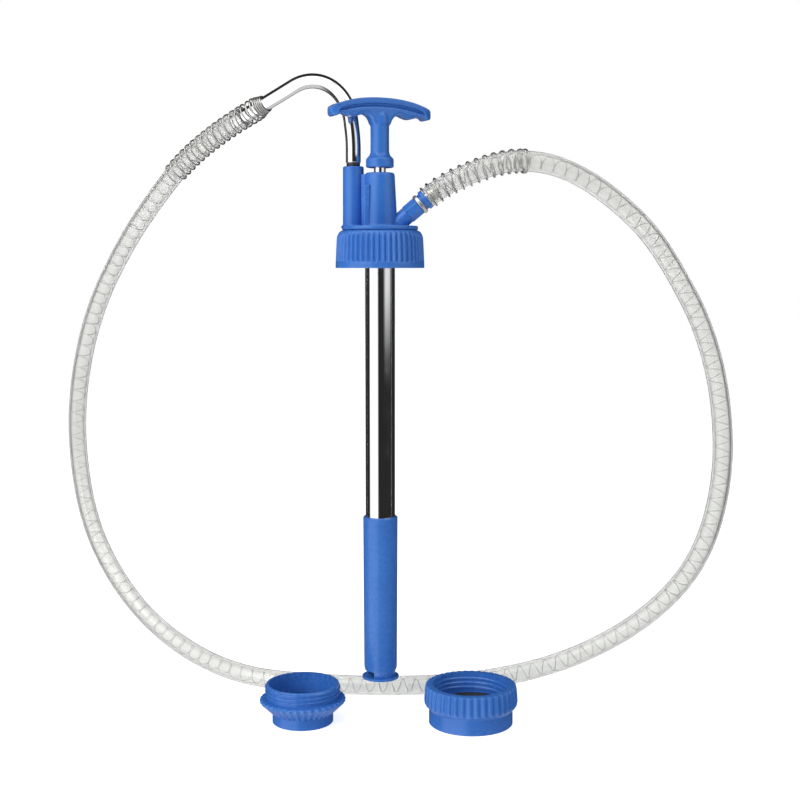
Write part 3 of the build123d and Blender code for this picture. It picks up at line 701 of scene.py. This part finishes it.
def make_spout_spring():
    """Close turns that grip the pipe, then open turns over the hose's last stretch."""
    points = []
    angle, back = 0.0, SPOUT_SPRING_BACK
    while back > 0:
        open_share = eased((angle / tau - GRIP_TURNS) / OPENING_TURNS)
        swell = eased((SPOUT_SPRING_BACK - back) / SWELL_LENGTH)
        radius = PIPE_GRIP_R + (SPRING_LAY_R - PIPE_GRIP_R) * swell
        centre = spout_hose_end - spout_direction * back
        points.append(
            centre + (spout_side * cos(angle) + spout_over * sin(angle)) * radius
        )
        back -= (CLOSE_PITCH + (SPOUT_PITCH - CLOSE_PITCH) * open_share) / SPRING_STEPS
        angle += tau / SPRING_STEPS
    distance = hose_length + back
    while distance > hose_length - SPOUT_SPRING_PAST:
        points.append(beside_hose(distance, SPRING_LAY_R, angle - hose_phase))
        distance -= SPOUT_PITCH / SPRING_STEPS
        angle += tau / SPRING_STEPS
    return curve_through(points, radius=SPRING_WIRE_R, sides=3)


finish_mesh(
    "spout_spring_coil", make_spout_spring(), "spring_steel", "nozzle", ["spout_spring"], 80
)

# ---------------------------------------------------------------- head
head = turned(
    [(0, 28), (12.75, 28), (12.75, 9), (15.5, 9), (15.5, 19.5), (26, 19.5), (26, 31.9),
     (32.3, 31.9), (32.3, 35.4), (0, 35.4)],
    0.9, 128, segments=3,
)
tower = turned(
    [(0, 66), (8, 66), (8, 79.7), (8.3, 80), (10.9, 80), (11.9, 79.5), (12.55, 78.2),
     (14.75, 37.6), (15.3, 36.2), (16.6, 35.2), (16.6, 34.0), (0, 34.0)],
    0.25, 96,
)
join(head, tower)
parking = turned(
    [(0, 60), (6.9, 60), (6.9, 85.2), (7.2, 85.6), (8.1, 85.6), (8.85, 84.8), (9.05, 37.2),
     (9.5, 36.0), (10.6, 35.2), (10.6, 34.0), (0, 34.0)],
    0.25, 80,
)
join(head, parking, Matrix.Translation((PARK_X, PARK_Y, 0)))
join(head, block((22.6, 9.0, 45.0), (PARK_X / 2, PARK_Y / 2 + 0.6, 56.5), radians(-13.7), 1.0))
join(head, block((5.6, 14.0, 36.0), (-10.9, -5.4, 51.8), 0.0, 1.3, 4, 0.94))
OUTLET_RISE = 40.4      # degrees above level
outlet_matrix = (
    Matrix.Translation(HOSE_ROUTE[0]) @ Matrix.Rotation(radians(90 - OUTLET_RISE), 4, "Y")
)
join(head, cylinder(7.25, 21.0, -42.0), outlet_matrix)
finish_piece("head_moulding", head, "blue_plastic", "pump_body", ["pump_head"])

# ---------------------------------------------------------------- hose connector
NUT_HALF_FLATS, NUT_BACK, NUT_LENGTH = 7.75, 20.9, 11.8
connector = bmesh.new()
bmesh.ops.create_circle(
    connector, cap_ends=True, segments=8, radius=NUT_HALF_FLATS / cos(pi / 8)
)
bmesh.ops.rotate(
    connector, cent=(0, 0, 0), matrix=Matrix.Rotation(pi / 8, 3, "Z"), verts=connector.verts
)
bmesh.ops.translate(connector, vec=(0, 0, -NUT_BACK), verts=connector.verts)
swelled = bmesh.ops.extrude_face_region(connector, geom=list(connector.faces))["geom"]
bmesh.ops.translate(
    connector, vec=(0, 0, NUT_LENGTH),
    verts=[g for g in swelled if isinstance(g, bmesh.types.BMVert)],
)
bmesh.ops.recalc_face_normals(connector, faces=connector.faces)
round_corners(connector, 0.45, 3)
neck = turned([(4.2, -10), (7.4, -10), (7.4, -3.0), (8.8, -3.0), (8.8, 0), (4.2, 0)], 0.35, 64)
join(connector, neck)
bmesh.ops.transform(connector, matrix=outlet_matrix, verts=connector.verts)
finish_piece("connector_moulding", connector, "blue_plastic", "pump_body", ["hose_connector"])

BARB_ROOT_R, BARB_CREST_R, BARB_PITCH = 5.6, 6.3, 2.7
barb_line = [(4.2, -6.0), (BARB_ROOT_R, -6.0), (BARB_ROOT_R, 0.0), (6.2, 0.0)]
for ridge in range(4):
    barb_line += [
        (BARB_ROOT_R, 0.9 + BARB_PITCH * ridge), (BARB_CREST_R, 3.0 + BARB_PITCH * ridge)
    ]
barb_line += [(5.0, 12.0), (4.2, 12.0)]
barb = turned(barb_line, 0.0, 64)
bmesh.ops.transform(barb, matrix=outlet_matrix, verts=barb.verts)
finish_piece("barb_turning", barb, "bright_steel", "pump_body", ["barb_insert"])

swivel = turned(
    [(7.4, -8.9), (8.5, -8.9), (8.85, -8.3), (8.85, -6.2), (8.5, -5.6), (7.4, -5.6)], 0.25, 64
)
bmesh.ops.transform(swivel, matrix=outlet_matrix, verts=swivel.verts)
finish_piece("swivel_band", swivel, "bright_steel", "pump_body", ["swivel_ring"])

# ---------------------------------------------------------------- screw collar
COLLAR_LINE = [
    (26.4, 25), (32.6, 25), (32.6, 1.0), (33.4, 0.2), (33.9, 0), (37.2, 0), (37.55, 0.15),
    (37.7, 0.5), (37.7, 2.8), (37.7, 4.4), (37.66, 5.2), (37.6, 6.0), (37.55, 7.2),
    (37.45, 9), (37.35, 12), (37.2, 15), (37.05, 18), (36.9, 21), (36.75, 23.5), (36.6, 25.5),
    (36.35, 26.6), (35.95, 27.8), (35.4, 28.9), (34.7, 29.9), (33.8, 30.8), (32.8, 31.4),
    (31.8, 31.6), (26.7, 31.6), (26.4, 31.3),
]
collar = bmesh.new()
spin_profile(collar, COLLAR_LINE, 480)
flute(collar, 48, 1.75, 4.8, 30.6, (1.4, 4.2), 33.2, 1.2, phase=radians(1.65))
thread(collar, 32.7, 31.3, 3.2, 4.2, 3.4)
finish_piece("collar_moulding", collar, "blue_plastic", "collar", ["collar_nut"])

# ---------------------------------------------------------------- barrel and inlet sleeve
barrel = turned([(11.8, -300), (12.7, -300), (12.7, 28), (11.8, 28)], 0.15, 128)
finish_piece("barrel_pipe", barrel, "chrome", "pump_body", ["barrel_tube"])

sleeve = turned(
    [(11.4, -349.5), (11.4, -300), (12.75, -300), (12.75, -213.8), (14.3, -213.8), (14.9, -214.6),
     (14.3, -347), (13.7, -349.5)],
    0.25, 112,
)
foot = turned([(0, -356.8), (16.0, -356.8), (16.0, -354.8), (0, -354.8)], 0.35, 96)
join(sleeve, foot)
LEG_TURN = radians(24.5)
leg_half = pi / 2 - 0.72        # half of the angle that each leg spans
for side in (1, -1):
    leg = bmesh.new()
    start = LEG_TURN + side * pi / 2 - leg_half
    spin_profile(
        leg, [(11.4, -355.2), (12.6, -355.2), (13.75, -349.2), (11.4, -349.2)], 24,
        2 * leg_half, start=start,
    )
    bmesh.ops.holes_fill(leg, edges=[e for e in leg.edges if e.is_boundary], sides=8)
    join(sleeve, leg)
finish_piece("sleeve_moulding", sleeve, "blue_plastic", "pump_body", ["inlet_sleeve"])

# ---------------------------------------------------------------- rod and grip
rod = turned(
    [(0, -296), (3.5, -296), (3.5, -257.2), (5, -257.2), (5, 108.3), (0, 108.3)], 0.2, 64
)
finish_piece("rod_bar", rod, "chrome", "handle", ["piston_rod"])

GRIP_YAW = Matrix.Rotation(radians(26.0), 4, "Z")


def plate(points, half, round_r):
    """A flat plate cut to a smooth outline in the grip's plane, with rounded edges."""
    curve = bpy.data.curves.new("plate", "CURVE")
    curve.dimensions = "2D"
    curve.fill_mode = "BOTH"
    curve.extrude = half - round_r
    curve.bevel_depth = round_r
    curve.bevel_resolution = 4
    curve.offset = -round_r
    spline = curve.splines.new("BEZIER")
    spline.bezier_points.add(len(points) - 1)
    for knot, (u, z, kind) in zip(spline.bezier_points, points):
        knot.co = (u, z, 0)
        knot.handle_left_type = knot.handle_right_type = kind
    spline.use_cyclic_u = True
    spline.resolution_u = 10
    holder = bpy.data.objects.new("plate", curve)
    mesh = bpy.data.meshes.new_from_object(holder)
    bpy.data.objects.remove(holder)
    bpy.data.curves.remove(curve)
    bm = bmesh.new()
    bm.from_mesh(mesh)
    bpy.data.meshes.remove(mesh)
    bmesh.ops.transform(bm, matrix=Matrix.Rotation(radians(90), 4, "X"), verts=bm.verts)
    bmesh.ops.remove_doubles(bm, verts=bm.verts, dist=0.01)
    return bm


half_core = [
    (41.5, 131.4, "AUTO"), (43.5, 128.8, "AUTO"), (40.6, 126.4, "AUTO"), (35.5, 128.0, "AUTO"),
    (26.0, 126.2, "AUTO"), (15.5, 128.6, "AUTO"), (9.6, 127.0, "AUTO"), (7.0, 122.0, "VECTOR"),
]
core_outline = [(0.0, 139.0, "AUTO"), (24.0, 137.2, "AUTO")] + half_core
core_outline += [(-u, z, kind) for u, z, kind in reversed(half_core)] + [(-24.0, 137.2, "AUTO")]
half_bolster = [
    (13.0, 134.9, "AUTO"), (26.0, 133.2, "AUTO"), (34.5, 131.2, "AUTO"), (40.0, 129.2, "AUTO"),
    (40.8, 127.4, "AUTO"), (39.0, 126.6, "AUTO"), (35.5, 127.4, "AUTO"), (30.8, 126.1, "AUTO"),
    (26.0, 125.3, "AUTO"), (21.0, 126.4, "AUTO"), (16.8, 127.9, "AUTO"), (12.6, 126.9, "AUTO"),
    (9.8, 124.0, "AUTO"), (8.2, 120.4, "VECTOR"), (6.5, 118.5, "VECTOR"),
]
bolster_outline = [(0.0, 135.3, "AUTO")] + half_bolster
bolster_outline += [(-u, z, kind) for u, z, kind in reversed(half_bolster)]
rim_outline = [
    (0.0, 141.8, "AUTO"), (13.0, 141.3, "AUTO"), (26.0, 139.5, "AUTO"), (36.0, 136.9, "AUTO"),
    (42.6, 134.3, "AUTO"), (46.2, 131.6, "AUTO"), (46.4, 128.2, "AUTO"), (44.6, 125.8, "AUTO"),
    (42.0, 125.2, "AUTO"), (39.8, 126.6, "AUTO"), (39.3, 129.6, "AUTO"), (36.4, 131.9, "AUTO"),
    (26.0, 134.7, "AUTO"), (13.0, 136.5, "AUTO"), (0.0, 137.0, "AUTO"),
]
rim_outline += [(-u, z, kind) for u, z, kind in reversed(rim_outline[1:-1])]
grip = plate(core_outline, 4.4, 1.0)
join(grip, plate(bolster_outline, 6.5, 3.0))
RIM_HALF, RIM_REACH, RIM_END_R = 7.4, 46.8, 6.5
rim = plate(rim_outline, RIM_HALF, 0.9)
for vert in rim.verts:
    past = abs(vert.co.x) - (RIM_REACH - RIM_END_R)
    if past > 0:
        room = RIM_HALF - RIM_END_R + (RIM_END_R**2 - min(past, RIM_END_R) ** 2) ** 0.5
        vert.co.y = max(-room, min(room, vert.co.y))
join(grip, rim)
stem_bar = turned(
    [(0, 84.3), (11.0, 84.3), (11.75, 85.0), (11.75, 90.6), (11.45, 91.6), (10.6, 92.6),
     (9.4, 93.7), (8.6, 95.0), (8.1, 96.4), (7.9, 98.0), (7.85, 108), (7.9, 118), (8.3, 121.5),
     (8.0, 127), (6.2, 131), (0, 133)],
    0.0, 72,
)
join(grip, stem_bar)
bmesh.ops.transform(grip, matrix=GRIP_YAW, verts=grip.verts)
grip_piece = finish_piece(
    "grip_moulding", grip, "blue_plastic", "handle", ["handle_grip", "handle_pin"], even=False
)
fuse = grip_piece.modifiers.new("fuse", "REMESH")
fuse.mode = "VOXEL"
fuse.voxel_size = 0.36 * MM
fuse.use_smooth_shade = True
settle = grip_piece.modifiers.new("settle", "SMOOTH")
settle.factor = 0.5
settle.iterations = 3

# ---------------------------------------------------------------- container adapters
FLOOR_Z, ADAPTER_TOP = -390.0, -356.0
MALE_AT, FEMALE_AT = (-67.0, -19.0), (78.0, -22.0)

MALE_LINE = [
    (29.0, 0), (30.9, 0), (31.25, -0.4), (31.25, -11.8), (32.6, -12.2), (35.6, -12.6),
    (36.7, -13.1), (37.2, -13.8), (37.2, -14.6), (37.0, -15.4), (35.5, -16.8), (33.5, -18.7),
    (31.5, -20.6), (29.5, -22.5), (28.0, -23.9), (27.4, -24.5), (26.6, -24.85), (26.2, -25.4),
    (26.2, -33.4), (25.6, -34.0), (22.6, -34.0), (22.6, -22.0), (28.5, -22.0), (29.0, -21.5),
]
male = bmesh.new()
spin_profile(male, MALE_LINE, 432)
flute(male, 36, 1.5, -25.2, -12.2, (2.0, 0.6), 27.0, 1.0, lean=0.6)
thread(male, 31.15, 32.4, -11.0, 3.4, 2.9, width=0.6)
thread(male, 22.7, 21.6, -32.0, 3.4, 2.4)
bmesh.ops.translate(male, vec=(*MALE_AT, ADAPTER_TOP), verts=male.verts)
finish_piece("male_adapter_moulding", male, "blue_plastic", "left_adapter", ["male_adapter"])

FEMALE_LINE = [
    (32.7, 0), (33.2, 0), (37.9, 0), (38.6, -0.3), (38.95, -0.9), (39.2, -2.2), (39.4, -4),
    (39.6, -6), (39.8, -8), (40.0, -10), (40.1, -12), (40.2, -14), (40.2, -15), (39.9, -16.2),
    (39.2, -17.5), (37.6, -19.0), (36.2, -20.3), (36.0, -21.0), (36.0, -33.4), (35.4, -34.0),
    (32.2, -34.0), (32.2, -22.5), (27, -22.5), (27, -19.5), (31.5, -19.5), (31.5, -17.5),
    (32.7, -17.5),
]
female = bmesh.new()
spin_profile(female, FEMALE_LINE, 480)
flute(female, 40, 1.4, -18.0, 0.5, (2.4, 0.6), 36.9, 1.2)
thread(female, 32.8, 32.2, -14.5, 4.0, 2.6)
thread(female, 32.3, 31.2, -32.0, 3.4, 2.2)
bmesh.ops.translate(female, vec=(*FEMALE_AT, ADAPTER_TOP), verts=female.verts)
finish_piece(
    "female_adapter_moulding", female, "blue_plastic", "right_adapter", ["female_adapter"]
)

# ---------------------------------------------------------------- finishes of the CAD's own meshes
slot_of = {entry["node"]: entry["material_slot"] for entry in frame["record"]["subparts"]}
for node, piece in frame["nodes"].items():
    piece.data.materials.clear()
    piece.data.materials.append(finishes[slot_of[node]])

# ---------------------------------------------------------------- floor and light
floor_bm = bmesh.new()
bmesh.ops.create_grid(floor_bm, x_segments=1, y_segments=1, size=6.0)
bmesh.ops.translate(floor_bm, vec=(0, 2.0, FLOOR_Z * MM), verts=floor_bm.verts)
floor_mesh = bpy.data.meshes.new("floor")
floor_bm.to_mesh(floor_mesh)
floor_bm.free()
floor = bpy.data.objects.new("floor", floor_mesh)
floor_material, floor_tree, floor_shader = new_material(
    "floor_paper", Base_Color=(0.92, 0.92, 0.92, 1), Roughness=0.9
)
floor_mesh.materials.append(floor_material)
bpy.context.scene.collection.objects.link(floor)


def soft_box(name, middle, towards, width, height, power):
    """A rectangular lamp that lights the object; what shines in the metal is the world's."""
    light = bpy.data.lights.new(name, "AREA")
    light.shape = "RECTANGLE"
    light.size, light.size_y, light.energy = width, height, power
    lamp = bpy.data.objects.new(name, light)
    lamp.location = middle
    lamp.visible_glossy = False
    lamp.rotation_euler = (Vector(towards) - Vector(middle)).to_track_quat("-Z", "Y").to_euler()
    bpy.context.scene.collection.objects.link(lamp)


soft_box("left_box", (-1.4, -1.4, 0.8), (0, 0, -0.1), 0.9, 1.6, 26)
soft_box("right_box", (1.9, -0.5, 0.6), (0, 0, -0.1), 0.6, 1.4, 3.4)
soft_box("top_box", (0.0, -0.3, 1.8), (0, 0, 0), 1.6, 1.2, 8.0)

# The studio that the metal and the clear hose see: a white backdrop, tall soft boxes at both
# sides, one overhead in front, and darkness between them.
world = bpy.data.worlds.new("studio")
bpy.context.scene.world = world
world.use_nodes = True
sky = world.node_tree
background = sky.nodes["Background"]
way = add(
    sky, "ShaderNodeSeparateXYZ", {0: add(sky, "ShaderNodeTexCoord").outputs["Generated"]}
)
towards_front = add(
    sky, "ShaderNodeMath", {0: way.outputs["Y"], 1: -1.0}, operation="MULTIPLY"
)
around = add(
    sky, "ShaderNodeMath", {0: way.outputs["X"], 1: towards_front.outputs[0]},
    operation="ARCTAN2",
).outputs[0]
above = way.outputs["Z"]


def sky_math(operation, first, second):
    """One sum of the world's light, from sockets or plain values."""
    return add(sky, "ShaderNodeMath", {0: first, 1: second}, operation=operation).outputs[0]


def ramp(value, start, stop):
    """0 before start and 1 after stop, with soft ends; start may be the larger."""
    return add(
        sky, "ShaderNodeMapRange", {"Value": value, "From Min": start, "From Max": stop},
        interpolation_type="SMOOTHSTEP",
    ).outputs["Result"]


def band(value, first, second, third, fourth):
    """1 between second and third, with soft ends out to first and fourth."""
    return sky_math("MULTIPLY", ramp(value, first, second), ramp(value, fourth, third))


left = sky_math("MULTIPLY", band(around, -1.62, -1.38, -0.40, -0.18), 1.4)
right = sky_math("MULTIPLY", band(around, 0.40, 0.85, 1.25, 1.75), ramp(above, -0.085, 0.01))
in_front = ramp(way.outputs["Y"], 0.20, -0.45)
overhead = sky_math("MULTIPLY", sky_math("MULTIPLY", ramp(above, 0.42, 0.75), in_front), 1.4)
below = sky_math("MULTIPLY", ramp(above, -0.30, -0.62), 0.7)
boxes = sky_math("ADD", sky_math("ADD", left, right), sky_math("ADD", overhead, below))
boxes = sky_math("ADD", boxes, 0.024)
backdrop = ramp(sky_math("ABSOLUTE", around, 0.0), 2.25, 2.85)
ray = add(sky, "ShaderNodeLightPath")
through = sky_math("MULTIPLY", backdrop, ray.outputs["Is Transmission Ray"])
level = sky_math("MAXIMUM", boxes, through)
seen = add(sky, "ShaderNodeCombineColor", {"Red": level, "Green": level, "Blue": level})
sharp_ray = sky_math("MAXIMUM", ray.outputs["Is Glossy Ray"], ray.outputs["Is Transmission Ray"])
shade = mix_colour(sky, sharp_ray, (0.34, 0.34, 0.35, 1), seen.outputs["Color"])
shade = mix_colour(sky, ray.outputs["Is Camera Ray"], shade, (1.0, 1.0, 1.0, 1))
sky.links.new(shade, background.inputs["Color"])
background.inputs["Strength"].default_value = 1.0

# The floor is bright to the eye, and reflections see past it to the studio.
floor_out = floor_tree.nodes["Material Output"]
floor_ray = add(floor_tree, "ShaderNodeLightPath")
floor_glow = ranged(floor_tree, floor_ray.outputs["Is Camera Ray"], 0.15, 0.72)
glow = add(floor_tree, "ShaderNodeEmission", {"Color": (1, 1, 1, 1), "Strength": floor_glow})
lit = add(floor_tree, "ShaderNodeAddShader", {0: floor_shader.outputs[0], 1: glow.outputs[0]})
clear = add(floor_tree, "ShaderNodeBsdfTransparent")
unseen = add(
    floor_tree, "ShaderNodeMixShader",
    {0: floor_ray.outputs["Is Glossy Ray"], 1: lit.outputs[0], 2: clear.outputs[0]},
)
floor_tree.links.new(unseen.outputs[0], floor_out.inputs["Surface"])
